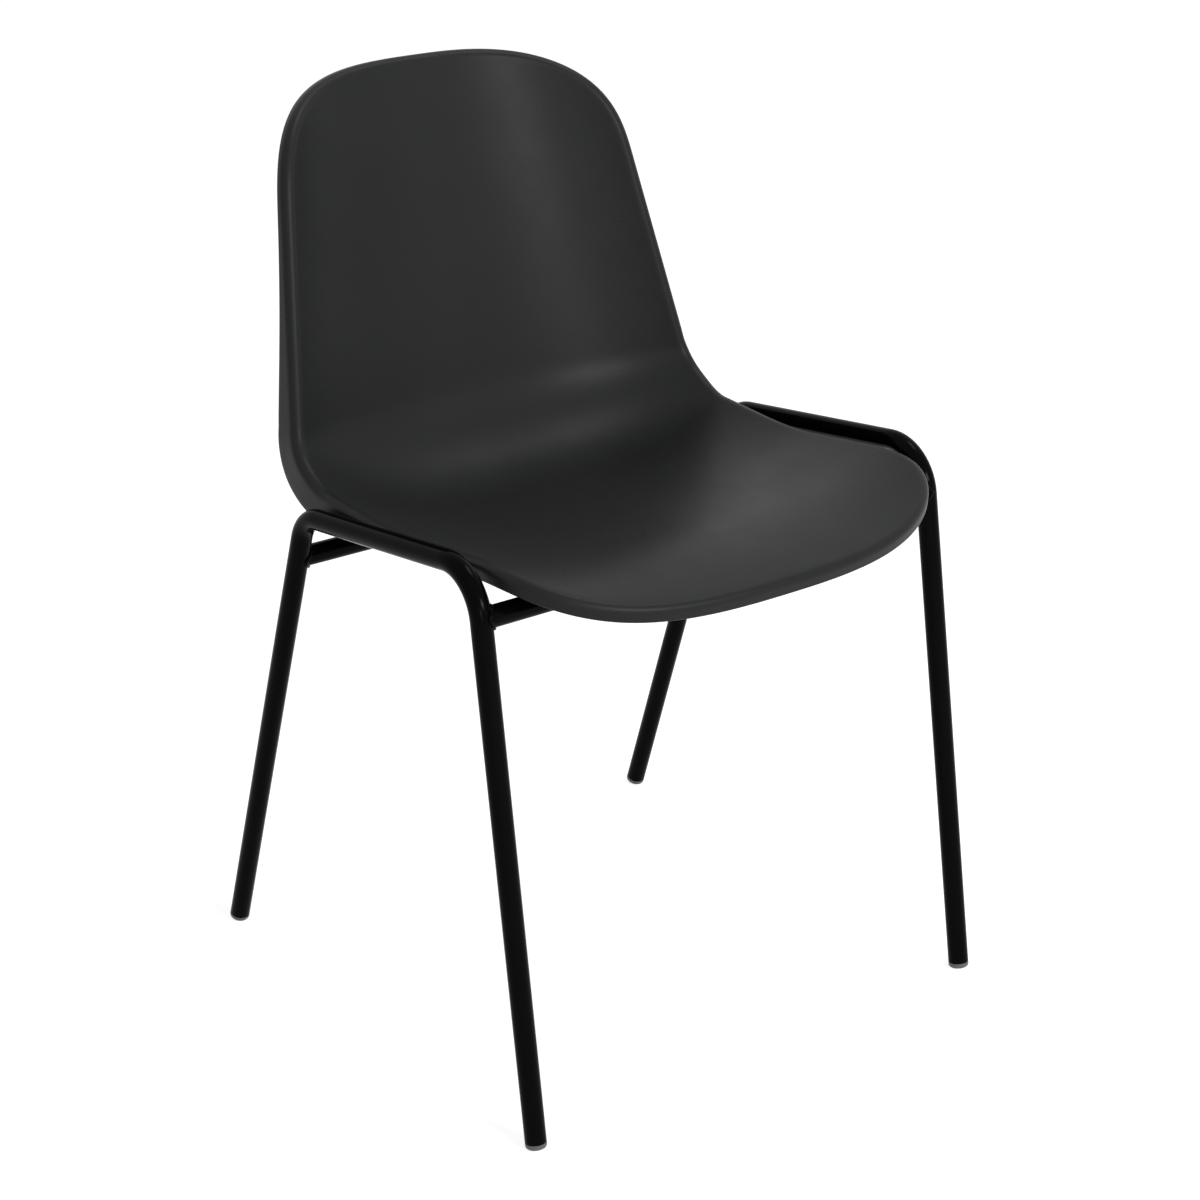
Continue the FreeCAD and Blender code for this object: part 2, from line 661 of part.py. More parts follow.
def check(objects, nodes):
    """Stop if anything in the document failed, or a node has no sound solid."""
    for obj in objects:
        if "Invalid" in obj.State or "Error" in obj.State:
            raise RuntimeError("%s failed: %s" % (obj.Label, obj.State))
    for label, node in nodes.items():
        if node.Shape.isNull() or not node.Shape.isValid() or not node.Shape.Solids:
            raise RuntimeError("%s has no sound solid" % label)


def main():
    doc = FreeCAD.newDocument("stacking_chair")
    sheet = make_sheet(doc)
    frames, rods = side_frames(doc, sheet)
    nodes = {label + "_side_frame": frame for label, frame in frames.items()}
    bar_rods = {}
    for which in ("front", "rear"):
        nodes[which + "_crossbar"], bar_rods[which] = crossbar(doc, which, rods)
    for which in ("front", "rear"):
        for side in (-1, 1):
            plug = foot_plug(doc, sheet, which, side)
            nodes[plug.Label] = plug
    screws = [shell_screw(doc, sheet, which, side) for which in ("front", "rear") for side in (-1, 1)]
    group = doc.addObject("Part::Compound", "shell_screws")
    group.Links = screws
    nodes["shell_screws"] = group
    doc.recompute()
    shell = doc.addObject("Part::Feature", "seat_shell")
    shell.Shape = drilled_bosses(sheet, moulded_shell(sheet), bar_rods)
    shell.Placement = FreeCAD.Placement()
    nodes["seat_shell"] = shell
    doc.recompute()
    check(doc.Objects, nodes)
    os.makedirs("parts", exist_ok=True)
    for label, node in nodes.items():
        node.Label = label
        node.Shape.exportStep("parts/%s.step" % label)


main()
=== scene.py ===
"""Looks of the stacking chair: moulded shell, powder-coated tubes, plugs, screws, welds and stage."""

import math

import bpy
from mathutils import Matrix, Vector
from mathutils.bvhtree import BVHTree


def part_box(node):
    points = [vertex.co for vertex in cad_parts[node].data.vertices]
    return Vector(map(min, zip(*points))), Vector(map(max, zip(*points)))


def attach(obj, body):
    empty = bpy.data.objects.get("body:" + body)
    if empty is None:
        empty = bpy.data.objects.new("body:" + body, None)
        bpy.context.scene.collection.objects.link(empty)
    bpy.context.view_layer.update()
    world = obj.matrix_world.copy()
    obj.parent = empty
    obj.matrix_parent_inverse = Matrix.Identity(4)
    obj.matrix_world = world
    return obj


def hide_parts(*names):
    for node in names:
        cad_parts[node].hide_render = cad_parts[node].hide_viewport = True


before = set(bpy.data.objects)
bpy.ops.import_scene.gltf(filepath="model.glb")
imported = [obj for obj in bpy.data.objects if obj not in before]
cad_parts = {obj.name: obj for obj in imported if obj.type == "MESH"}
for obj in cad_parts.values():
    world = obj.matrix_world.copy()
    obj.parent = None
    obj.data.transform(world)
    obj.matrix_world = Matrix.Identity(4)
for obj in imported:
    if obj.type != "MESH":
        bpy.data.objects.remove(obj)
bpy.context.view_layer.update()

bl_info = {
    "name": "Stacking Chair",
    "version": (1, 0, 0),
    "blender": (4, 5, 0),
    "location": "3D View > Sidebar > Stacking Chair",
    "description": "Finishes, shell mesh and studio for a stacking chair",
    "category": "Object",
}

BODY = "root"
X_AXIS = Vector((1, 0, 0))


# ---------------------------------------------------------------- settings

def length(name, default, description):
    """A length in metres."""
    return bpy.props.FloatProperty(name=name, default=default, description=description, unit="LENGTH", precision=4)


def turn(name, degrees, description):
    """An angle, given in degrees."""
    return bpy.props.FloatProperty(
        name=name, default=math.radians(degrees), description=description, unit="ROTATION")


def number(name, default, description):
    """A plain number."""
    return bpy.props.FloatProperty(name=name, default=default, description=description)


def colour(name, default, description):
    """A linear colour."""
    return bpy.props.FloatVectorProperty(
        name=name, default=default, description=description, subtype="COLOR", size=3, min=0.0, max=1.0)


class ShellSettings(bpy.types.PropertyGroup):
    """Sizes of the moulded shell, the same as the construction's, and its finish."""

    middle: length("Middle of the feet", 0.0054, "Y of the middle of the four feet")
    front: length("Front", 0.2675, "Front of the shell ahead of the middle")
    corner: length("Seat corner", 0.1536, "Where seat and back lines meet, behind the middle")
    corner_height: length("Corner height", 0.4125, "Height of that corner")
    pitch: turn("Seat pitch", 7.25, "Seat falls to the rear")
    rise: turn("Front rise", 13.1, "Slope of the seat's front edge")
    crown: length("Crown radius", 0.369, "Rolled-over front of the seat")
    bend: length("Bend radius", 0.095, "Seat to back")
    rake: turn("Back rake", 13.85, "Back leans to the rear")
    top: length("Top", 0.7796, "Top of the back")
    half_width: length("Half width", 0.2136, "Middle plane to the outside of the rim")
    taper: number("Taper", 0.156, "Half width lost per unit of height of the back")
    taper_start: length("Taper start", 0.025, "From the middle of the bend, back along the seat")
    taper_blend: length("Taper blend", 0.11, "Length over which the taper grows")
    front_corner: length("Front corners", 0.1156, "Length of the rounded front corners")
    front_power: number("Front squareness", 2.61, "Squareness of the front corners")
    top_corner: length("Top corners", 0.1185, "Length of the rounded top corners")
    top_power: number("Top squareness", 2.93, "Squareness of the top corners")
    seat_raise: length("Seat raise", 0.0265, "Seat sides above the seat's middle line")
    back_raise: length("Back raise", 0.0538, "Back sides ahead of the back's middle line")
    raise_ease: length("Raise ease", 0.039, "Length over which the seat sides rise")
    raise_blend: length("Raise blend", 0.1, "Half the length of the change from seat to back")
    raise_lead: length("Raise lead", 0.0987, "Middle of that change ahead of the bend")
    dish_power: number("Dish", 2.99, "How late the dish turns up to its sides")
    front_rim: length("Front rim", 0.0142, "Turned-down rim at the front")
    top_rim: length("Top rim", 0.0115, "Turned-back rim at the top")
    skirt: length("Skirt", 0.0202, "Extra depth of the rim beside the bend")
    skirt_spread: length("Skirt spread", 0.145, "How far that extra depth reaches")
    rim_radius: length("Rim radius", 0.007, "Outer radius of the rolled rim")
    wall: length("Wall", 0.004, "Moulded wall")
    boss_radius: length("Boss radius", 0.010, "Bosses that sit on the crossbars")
    front_boss: length("Front bosses", 0.115, "Front bosses from the middle plane")
    rear_boss: length("Rear bosses", 0.095, "Rear bosses from the middle plane")
    tone: colour("Plastic", (0.0160, 0.0165, 0.0168), "Dark charcoal plastic")
    grain: length("Grain", 0.0011, "Width of one cell of the moulded grain")


class FrameSettings(bpy.types.PropertyGroup):
    """Finish of the tube frame, its plugs and screws."""

    coat: colour("Powder coat", (0.0016, 0.0016, 0.0016), "Black powder coat")
    plug: colour("Plug", (0.115, 0.115, 0.115), "Grey plastic of the foot plugs")
    zinc: colour("Zinc", (0.52, 0.53, 0.54), "Plated screws")
    bead: length("Weld bead", 0.0016, "Radius of a weld bead")


class StageSettings(bpy.types.PropertyGroup):
    """Camera, lamps and backdrop."""

    camera_x: length("Camera X", -1.2554, "Camera position")
    camera_y: length("Camera Y", -1.7011, "Camera position")
    camera_z: length("Camera Z", 1.2055, "Camera position")
    azimuth: turn("Azimuth", -36.61, "Camera heading, 0 looks along +Y")
    elevation: turn("Elevation", 22.16, "Camera looks down by this")
    roll: turn("Roll", -0.63, "Camera roll")
    lens: bpy.props.FloatProperty(name="Lens", default=78.7, description="Focal length", unit="CAMERA")
    shift_x: number("Shift X", 0.00083, "Sideways shift of the lens")
    shift_y: number("Shift Y", -0.00275, "Upward shift of the lens")
    ambient: number("Ambient", 0.30, "Strength of the white surroundings")
    floor_glow: number("Floor glow", 0.76, "How white the floor looks where it lies in shadow")
    backdrop: colour("Backdrop", (1.0, 1.0, 1.0), "Floor and background")


# ---------------------------------------------------------------- node helpers

class Nodes:
    """Adds nodes to a tree and joins them by socket name."""

    def __init__(self, tree):
        self.tree = tree
        self.column = 0

    def add(self, kind, **values):
        """One node; values set its properties, or the inputs of that name."""
        node = self.tree.nodes.new(kind)
        self.column += 1
        node.location = (180 * self.column, 0)
        for name, value in values.items():
            title = name.replace("_", " ").title()
            if hasattr(node, name):
                setattr(node, name, value)
            elif isinstance(value, bpy.types.NodeSocket):
                self.tree.links.new(value, node.inputs[title])
            else:
                node.inputs[title].default_value = value
        return node

    def join(self, source, target):
        """A link between two sockets."""
        self.tree.links.new(source, target)


def spread_group():
    """Slow variation: a value about 0.5 that wanders over the surface."""
    group = bpy.data.node_groups.new("slow_variation", "ShaderNodeTree")
    group.interface.new_socket("Scale", in_out="INPUT", socket_type="NodeSocketFloat")
    group.interface.new_socket("Low", in_out="INPUT", socket_type="NodeSocketFloat")
    group.interface.new_socket("High", in_out="INPUT", socket_type="NodeSocketFloat")
    group.interface.new_socket("Value", in_out="OUTPUT", socket_type="NodeSocketFloat")
    nodes = Nodes(group)
    inputs = nodes.add("NodeGroupInput")
    place = nodes.add("ShaderNodeTexCoord")
    noise = nodes.add("ShaderNodeTexNoise", Detail=3.0, Roughness=0.55)
    nodes.join(place.outputs["Object"], noise.inputs["Vector"])
    nodes.join(inputs.outputs["Scale"], noise.inputs["Scale"])
    spread = nodes.add("ShaderNodeMapRange")
    spread.inputs["From Min"].default_value = 0.3
    spread.inputs["From Max"].default_value = 0.7
    nodes.join(noise.outputs["Fac"], spread.inputs["Value"])
    nodes.join(inputs.outputs["Low"], spread.inputs["To Min"])
    nodes.join(inputs.outputs["High"], spread.inputs["To Max"])
    outputs = nodes.add("NodeGroupOutput")
    nodes.join(spread.outputs["Result"], outputs.inputs["Value"])
    return group


def grain_group():
    """Moulded grain: rounded cells with a finer noise over them, as a height."""
    group = bpy.data.node_groups.new("moulded_grain", "ShaderNodeTree")
    group.interface.new_socket("Scale", in_out="INPUT", socket_type="NodeSocketFloat")
    group.interface.new_socket("Height", in_out="OUTPUT", socket_type="NodeSocketFloat")
    nodes = Nodes(group)
    inputs = nodes.add("NodeGroupInput")
    place = nodes.add("ShaderNodeTexCoord")
    cells = nodes.add("ShaderNodeTexVoronoi", feature="SMOOTH_F1", Smoothness=0.6)
    nodes.join(place.outputs["Object"], cells.inputs["Vector"])
    nodes.join(inputs.outputs["Scale"], cells.inputs["Scale"])
    finer = nodes.add("ShaderNodeMath", operation="MULTIPLY")
    finer.inputs[1].default_value = 2.7
    nodes.join(inputs.outputs["Scale"], finer.inputs[0])
    noise = nodes.add("ShaderNodeTexNoise", Detail=2.0)
    nodes.join(place.outputs["Object"], noise.inputs["Vector"])
    nodes.join(finer.outputs[0], noise.inputs["Scale"])
    height = nodes.add("ShaderNodeMath", operation="MULTIPLY_ADD")
    height.inputs[1].default_value = 0.35
    nodes.join(noise.outputs["Fac"], height.inputs[0])
    nodes.join(cells.outputs["Distance"], height.inputs[2])
    outputs = nodes.add("NodeGroupOutput")
    nodes.join(height.outputs[0], outputs.inputs["Height"])
    return group


def shared_group(name, make):
    """A node group that is made once."""
    return bpy.data.node_groups.get(name) or make()


def finish(name, tone, roughness, grain_scale, bump, shade=0.12, patch=9.0, **plain):
    """Material whose colour and roughness wander slowly and whose surface has a grain.

    tone is the base colour, roughness a (low, high) pair, and plain sets sockets of the shader.
    """
    material = bpy.data.materials.new(name)
    material.use_nodes = True
    tree = material.node_tree
    shader = tree.nodes["Principled BSDF"]
    nodes = Nodes(tree)
    for socket, value in plain.items():
        shader.inputs[socket.replace("_", " ")].default_value = value
    variation = shared_group("slow_variation", spread_group)
    mix = nodes.add("ShaderNodeMix", data_type="RGBA")
    mix.inputs[6].default_value = [c * (1 - shade) for c in tone] + [1]
    mix.inputs[7].default_value = [c * (1 + shade) for c in tone] + [1]
    wander = nodes.add("ShaderNodeGroup", node_tree=variation)
    wander.inputs["Scale"].default_value = patch
    wander.inputs["Low"].default_value = 0.0
    wander.inputs["High"].default_value = 1.0
    nodes.join(wander.outputs["Value"], mix.inputs["Factor"])
    nodes.join(mix.outputs[2], shader.inputs["Base Color"])
    gloss = nodes.add("ShaderNodeGroup", node_tree=variation)
    gloss.inputs["Scale"].default_value = patch * 3
    gloss.inputs["Low"].default_value = roughness[0]
    gloss.inputs["High"].default_value = roughness[1]
    nodes.join(gloss.outputs["Value"], shader.inputs["Roughness"])
    grain = nodes.add("ShaderNodeGroup", node_tree=shared_group("moulded_grain", grain_group))
    grain.inputs["Scale"].default_value = grain_scale
    relief = nodes.add("ShaderNodeBump", Strength=bump, Distance=0.0002)
    nodes.join(grain.outputs["Height"], relief.inputs["Height"])
    nodes.join(relief.outputs["Normal"], shader.inputs["Normal"])
    return material


def clad(obj, material):
    """The only material of an object."""
    obj.data.materials.clear()
    obj.data.materials.append(material)


def mesh_object(name, mesh, material):
    """A smooth piece that rides on the chair."""
    obj = bpy.data.objects.new(name, mesh)
    bpy.context.scene.collection.objects.link(obj)
    for polygon in mesh.polygons:
        polygon.use_smooth = True
    clad(obj, material)
    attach(obj, BODY)
    return obj


# ---------------------------------------------------------------- shell

def smooth_step(share):
    """0 to 1 with level ends."""
    share = max(0.0, min(1.0, share))
    return share * share * (3 - 2 * share)


class ShellShape:
    """The shell's form: a middle line of arcs and straights, an outline on it, and a skirt."""

    CORNER_SHARE = 0.32

    def __init__(self, size):
        self.size = size
        rise, pitch, back = size.rise, -size.pitch, math.pi / 2 - size.rake
        start_y = -size.front
        seat_y = start_y + size.crown * (math.sin(rise) - math.sin(pitch))
        seat_z = size.corner_height + (seat_y - size.corner) * math.tan(pitch)
        start_z = seat_z - size.crown * (math.cos(pitch) - math.cos(rise))
        trim = size.bend * math.tan((back - pitch) / 2)
        bend_y = size.corner - trim * math.cos(pitch)
        bend_z = size.corner_height - trim * math.sin(pitch)
        back_y = size.corner + trim * math.cos(back)
        back_z = size.corner_height + trim * math.sin(back)
        self.pieces = [
            (start_y, start_z, rise, -size.crown, size.crown * (rise - pitch)),
            (seat_y, seat_z, pitch, None, (bend_y - seat_y) / math.cos(pitch)),
            (bend_y, bend_z, pitch, size.bend, size.bend * (back - pitch)),
            (back_y, back_z, back, None, (size.top - back_z) / math.sin(back)),
        ]
        lengths = [piece[4] for piece in self.pieces]
        self.bend_run = lengths[0] + lengths[1] + lengths[2] / 2
        self.full_run = sum(lengths)

    def middle(self, run):
        """Y, Z and slope of the middle line, at a length along it from the front edge."""
        for y, z, slope, radius, span in self.pieces[:-1]:
            if run <= span:
                break
            run -= span
        else:
            y, z, slope, radius, span = self.pieces[-1]
        if radius is None:
            return y + run * math.cos(slope), z + run * math.sin(slope), slope
        turned = slope + run / radius
        return (y + radius * (math.sin(turned) - math.sin(slope)),
                z - radius * (math.cos(turned) - math.cos(slope)), turned)

    def half_width(self, run):
        """Middle plane to the outside of the rim."""
        size = self.size
        along = run - self.bend_run + size.taper_start
        if along <= 0:
            return size.half_width
        if along < size.taper_blend:
            return size.half_width - size.taper * along ** 2 / (2 * size.taper_blend)
        return size.half_width - size.taper * (along - size.taper_blend / 2)

    def change(self, run, seat_value, back_value):
        """Smooth change from a value for the seat to one for the back."""
        blend = self.size.raise_blend
        share = smooth_step((run - self.bend_run + self.size.raise_lead + blend) / (2 * blend))
        return seat_value + (back_value - seat_value) * share

    def side_raise(self, run):
        """How far the sides stand above the middle line."""
        ease = 1 - math.exp(-max(run, 0.0) / self.size.raise_ease)
        return ease * self.change(run, self.size.seat_raise, self.size.back_raise)

    def skirt(self, run):
        """Depth of the rim and skirt."""
        size = self.size
        rim = self.change(run, size.front_rim, size.top_rim)
        return rim + size.skirt * math.exp(-((run - self.bend_run) / size.skirt_spread) ** 2)

    def point(self, x, run):
        """Upper side of the shell."""
        y, z, slope = self.middle(run)
        up = self.side_raise(run) * abs(x / self.half_width(run)) ** self.size.dish_power
        return Vector((x, self.size.middle + y - math.sin(slope) * up, z + math.cos(slope) * up))

    def normal(self, x, run):
        """Square to the upper side, away from the shell."""
        step = 0.0005
        across = self.point(x + step, run) - self.point(x - step, run)
        along = self.point(x, run + step) - self.point(x, run - step)
        return across.cross(along).normalized()

    def outline(self, turned, inset):
        """X and run of the outline, inset from the rim; turned 0 to 1 is front, side, top."""
        size, share = self.size, self.CORNER_SHARE
        front, top = inset, self.full_run - inset
        front_length, top_length = size.front_corner - inset, size.top_corner - inset
        if share <= turned <= 1 - share:
            along = (turned - share) / (1 - 2 * share)
            run = front + front_length + along * (top - top_length - front - front_length)
            return self.half_width(run) - inset, run
        if turned < share:
            angle, power = turned / share * math.pi / 2, 2 / size.front_power
            run = front + front_length * (1 - math.cos(angle) ** power)
        else:
            angle, power = (1 - turned) / share * math.pi / 2, 2 / size.top_power
            run = top - top_length * (1 - math.cos(angle) ** power)
        return (self.half_width(run) - inset) * math.sin(angle) ** power, run

    def rim(self, turned):
        """X and run at the start of the rolled rim; turned runs once round, 0 and 2 at the front."""
        turned %= 2
        side = 1 if turned <= 1 else -1
        x, run = self.outline(turned if turned <= 1 else 2 - turned, self.size.rim_radius)
        return side * x, run

    def rim_frame(self, turned):
        """Start of the roll, its outward and upward directions, and the angle it turns through."""
        x, run = self.rim(turned)
        here = self.point(x, run)
        along = (self.point(*self.rim(turned + 0.002)) - self.point(*self.rim(turned - 0.002))).normalized()
        up = self.normal(x, run)
        outward = along.cross(up).normalized()
        slope = self.middle(run)[2]
        down = Vector((0, math.sin(slope), -math.cos(slope)))
        down = (down - along * down.dot(along)).normalized()
        angle = math.acos(max(-1.0, min(1.0, outward.dot(down))))
        return here, outward, up, angle, self.skirt(run)


def even_turns(shape, count):
    """Places round the rim, evenly spaced along it."""
    fine = 4000
    reach = [0.0]
    before = shape.rim(0)
    for n in range(1, fine + 1):
        here = shape.rim(2 * n / fine)
        reach.append(reach[-1] + math.dist(before, here))
        before = here
    turns, n = [], 0
    for k in range(count):
        target = reach[-1] * k / count
        while reach[n + 1] < target:
            n += 1
        share = (target - reach[n]) / (reach[n + 1] - reach[n])
        turns.append(2 * (n + share) / fine)
    return turns


def skin_sections(shape, turned, radial_steps, roll_steps, skirt_steps):
    """Points of one section, from the middle of the upper side over rim and lip to the underside."""
    size = shape.size
    wall, radius = size.wall, size.rim_radius
    lip_round = wall * 0.3
    x_rim, run_rim = shape.rim(turned)
    pole = shape.full_run / 2
    upper, under = [], []
    for step in range(1, radial_steps + 1):
        share = 1 - (1 - step / radial_steps) ** 1.25
        x, run = x_rim * share, pole + (run_rim - pole) * share
        here = shape.point(x, run)
        upper.append(here)
        under.append(here - shape.normal(x, run) * wall)
    here, outward, up, angle, depth = shape.rim_frame(turned)
    centre = here - up * radius
    for step in range(1, roll_steps + 1):
        part = angle * step / roll_steps
        ray = outward * math.sin(part) + up * math.cos(part)
        upper.append(centre + ray * radius)
        under.append(centre + ray * (radius - wall))
    heading = outward * math.cos(angle) - up * math.sin(angle)
    across = outward * math.sin(angle) + up * math.cos(angle)
    straight = depth - radius - lip_round
    ends = upper[-1], under[-1]
    for step in range(1, skirt_steps + 1):
        reach = heading * (straight * step / skirt_steps)
        upper.append(ends[0] + reach)
        under.append(ends[1] + reach)
    lip = []
    for side, end in ((-1, upper[-1]), (1, under[-1])):
        middle = end + across * lip_round * side
        quarter = [middle + (across * -side * math.cos(a) + heading * math.sin(a)) * lip_round
                   for a in (math.radians(30), math.radians(60), math.radians(90))]
        lip += quarter if side < 0 else quarter[::-1]
    return upper + lip + under[::-1]


def shell_mesh(size):
    """The shell as one closed mesh: upper side, rolled rim, skirt, lip and underside."""
    shape = ShellShape(size)
    turns = even_turns(shape, 380)
    sections = [skin_sections(shape, t, 42, 9, 5) for t in turns]
    pole = shape.full_run / 2
    top = shape.point(0, pole)
    points = [top, top - shape.normal(0, pole) * size.wall]
    for section in sections:
        points += section
    length, count = len(sections[0]), len(sections)
    faces = []
    for k in range(count):
        a, b = 2 + k * length, 2 + (k + 1) % count * length
        faces.append((0, a, b))
        faces += [(a + j, a + j + 1, b + j + 1, b + j) for j in range(length - 1)]
        faces.append((a + length - 1, 1, b + length - 1))
    mesh = bpy.data.meshes.new("seat_shell_moulding")
    mesh.from_pydata(points, [], faces)
    return mesh, shape


def boss_mesh(size, shape):
    """Four round bosses from the shell's underside down to the crossbars."""
    points, faces = [], []
    around, rows = 48, 6
    for bar, offset in (("front_crossbar", size.front_boss), ("rear_crossbar", size.rear_boss)):
        low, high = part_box(bar)
        tube = (high[2] - low[2]) / 2
        bar_y, bar_z = (low[1] + high[1]) / 2, (low[2] + high[2]) / 2
        for side in (-1, 1):
            start = len(points)
            for row in range(rows + 1):
                for n in range(around):
                    angle = 2 * math.pi * n / around
                    x = side * offset + size.boss_radius * math.cos(angle)
                    dy = size.boss_radius * math.sin(angle)
                    foot = bar_z + math.sqrt(max(tube ** 2 - dy ** 2, 0.0))
                    head = underside(shape, x, bar_y + dy) + size.wall / 2
                    points.append(Vector((x, bar_y + dy, foot + (head - foot) * row / rows)))
            for row in range(rows):
                for n in range(around):
                    a, b = start + row * around + n, start + row * around + (n + 1) % around
                    faces.append((a, b, b + around, a + around))
            faces.append(tuple(start + n for n in range(around))[::-1])
            faces.append(tuple(start + rows * around + n for n in range(around)))
    mesh = bpy.data.meshes.new("shell_bosses")
    mesh.from_pydata(points, [], faces)
    return mesh


def underside(shape, x, y):
    """Height of the seat's underside over a spot."""
    low, high = 0.0, shape.bend_run
    for _ in range(40):
        run = (low + high) / 2
        here = shape.point(x, run) - shape.normal(x, run) * shape.size.wall
        low, high = (run, high) if here.y < y else (low, run)
    return here.z


# ---------------------------------------------------------------- welds

def weld_line(bar_name, frame_name, side):
    """Where a crossbar meets a side frame: points round the joint, with their outward directions."""
    low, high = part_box(bar_name)
    radius = (high[2] - low[2]) / 2
    centre = Vector((0, (low[1] + high[1]) / 2, (low[2] + high[2]) / 2))
    start_x = side * (high[0] - 4 * radius)
    side_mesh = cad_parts[frame_name].data
    tree = BVHTree.FromPolygons(
        [v.co for v in side_mesh.vertices], [tuple(p.vertices) for p in side_mesh.polygons])
    steps, found = 120, []
    for n in range(steps):
        angle = 2 * math.pi * n / steps
        out = Vector((0, math.cos(angle), math.sin(angle)))
        origin = centre + out * radius * 0.96
        origin.x = start_x
        hit = tree.ray_cast(origin, X_AXIS * side, 6 * radius)[0]
        x = hit.x if hit else side * high[0]
        found.append((Vector((x, 0, 0)) + centre + out * radius, out))
    return found


def weld_mesh(size):
    """Beads round both ends of both crossbars, with the ripples that each puddle left."""
    points, faces = [], []
    ring = 14
    for number, (bar, label, side) in enumerate((
            ("front_crossbar", "left_side_frame", -1), ("front_crossbar", "right_side_frame", 1),
            ("rear_crossbar", "left_side_frame", -1), ("rear_crossbar", "right_side_frame", 1))):
        line = weld_line(bar, label, side)
        count, start = len(line), len(points)
        for n, (here, out) in enumerate(line):
            along = (line[(n + 1) % count][0] - line[n - 1][0]).normalized()
            inward = along.cross(out).normalized()
            puddle = 1 + 0.16 * abs(math.sin(math.pi * 13 * n / count + number)) \
                + 0.07 * math.sin(5 * 2 * math.pi * n / count + 2 * number)
            for k in range(ring):
                angle = 2 * math.pi * k / ring
                points.append(here + (out * math.cos(angle) + inward * math.sin(angle)) * size.bead * puddle)
        for n in range(count):
            for k in range(ring):
                a, b = start + n * ring, start + (n + 1) % count * ring
                faces.append((a + k, b + k, b + (k + 1) % ring, a + (k + 1) % ring))
    mesh = bpy.data.meshes.new("weld_beads")
    mesh.from_pydata(points, [], faces)
    return mesh


# ---------------------------------------------------------------- finishes

def charcoal_plastic(size):
    """Moulded charcoal plastic with a fine satin grain."""
    return finish("charcoal_moulded_plastic", size.tone, (0.40, 0.44), 1 / size.grain, 0.30, shade=0.06,
                  Specular_IOR_Level=0.12)


def black_coat(size):
    """Black powder coat, glossy, with a slight orange peel."""
    return finish("black_powder_coat", size.coat, (0.12, 0.18), 900.0, 0.10, Specular_IOR_Level=0.03)


def plug_plastic(size):
    """Grey satin plastic of the plugs."""
    return finish("grey_plug_plastic", size.plug, (0.42, 0.55), 1100.0, 0.2)


def plated_steel(size):
    """Bright zinc plating."""
    return finish("zinc_plated_steel", size.zinc, (0.25, 0.38), 1500.0, 0.15, Metallic=1.0)


# ---------------------------------------------------------------- operators

class CHAIR_OT_shell(bpy.types.Operator):
    """Make the moulded seat and back shell with its bosses"""

    bl_idname = "chair.shell"
    bl_label = "Shell"

    def execute(self, context):
        size = context.scene.chair_shell
        mesh, shape = shell_mesh(size)
        plastic = charcoal_plastic(size)
        shell = mesh_object("moulded_shell", mesh, plastic)
        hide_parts("seat_shell")
        mesh_object("moulded_bosses", boss_mesh(size, shape), plastic)
        clad(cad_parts["seat_shell"], plastic)
        return {"FINISHED"}


class CHAIR_OT_frame(bpy.types.Operator):
    """Coat the tube frame and lay the weld beads"""

    bl_idname = "chair.frame"
    bl_label = "Tube frame"

    def execute(self, context):
        size = context.scene.chair_frame
        coat = black_coat(size)
        for node in ("left_side_frame", "right_side_frame", "front_crossbar", "rear_crossbar"):
            clad(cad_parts[node], coat)
        mesh_object("weld_beads", weld_mesh(size), coat)
        return {"FINISHED"}


class CHAIR_OT_fittings(bpy.types.Operator):
    """Finish the foot plugs and the shell screws"""

    bl_idname = "chair.fittings"
    bl_label = "Plugs and screws"

    def execute(self, context):
        size = context.scene.chair_frame
        plug = plug_plastic(size)
        for node in ("front_left", "front_right", "rear_left", "rear_right"):
            clad(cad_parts[node + "_foot_plug"], plug)
        clad(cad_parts["shell_screws"], plated_steel(size))
        return {"FINISHED"}


class CHAIR_OT_stage(bpy.types.Operator):
    """Set the floor, surroundings, lamps and camera"""

    bl_idname = "chair.stage"
    bl_label = "Stage"

    def execute(self, context):
        size = context.scene.chair_stage
        context.scene.view_settings.view_transform = "Standard"
        lay_floor(size)
        set_surroundings(size)
        for lamp in LAMPS:
            hang_lamp(*lamp)
        place_camera(size)
        return {"FINISHED"}


# ---------------------------------------------------------------- stage

LAMPS = [
    # name, place, aimed at, width, height, watts
    ("front_softbox", (0.3, -3.2, 1.85), (0.0, 0.0, 0.6), 1.1, 0.7, 60.0),
    ("overhead_softbox", (0.9, -0.2, 2.8), (0.0, 0.0, 0.4), 0.8, 0.7, 14.0),
    ("side_softbox", (-1.4, -2.8, 0.9), (0.0, 0.0, 0.4), 0.6, 0.6, 8.0),
]


def seen_ray(nodes):
    """1 for rays from the camera or off a glossy or clear surface, else 0."""
    path = nodes.add("ShaderNodeLightPath")
    first = nodes.add("ShaderNodeMath", operation="MAXIMUM")
    second = nodes.add("ShaderNodeMath", operation="MAXIMUM")
    nodes.join(path.outputs["Is Camera Ray"], first.inputs[0])
    nodes.join(path.outputs["Is Glossy Ray"], first.inputs[1])
    nodes.join(first.outputs[0], second.inputs[0])
    nodes.join(path.outputs["Is Transmission Ray"], second.inputs[1])
    return second.outputs[0]


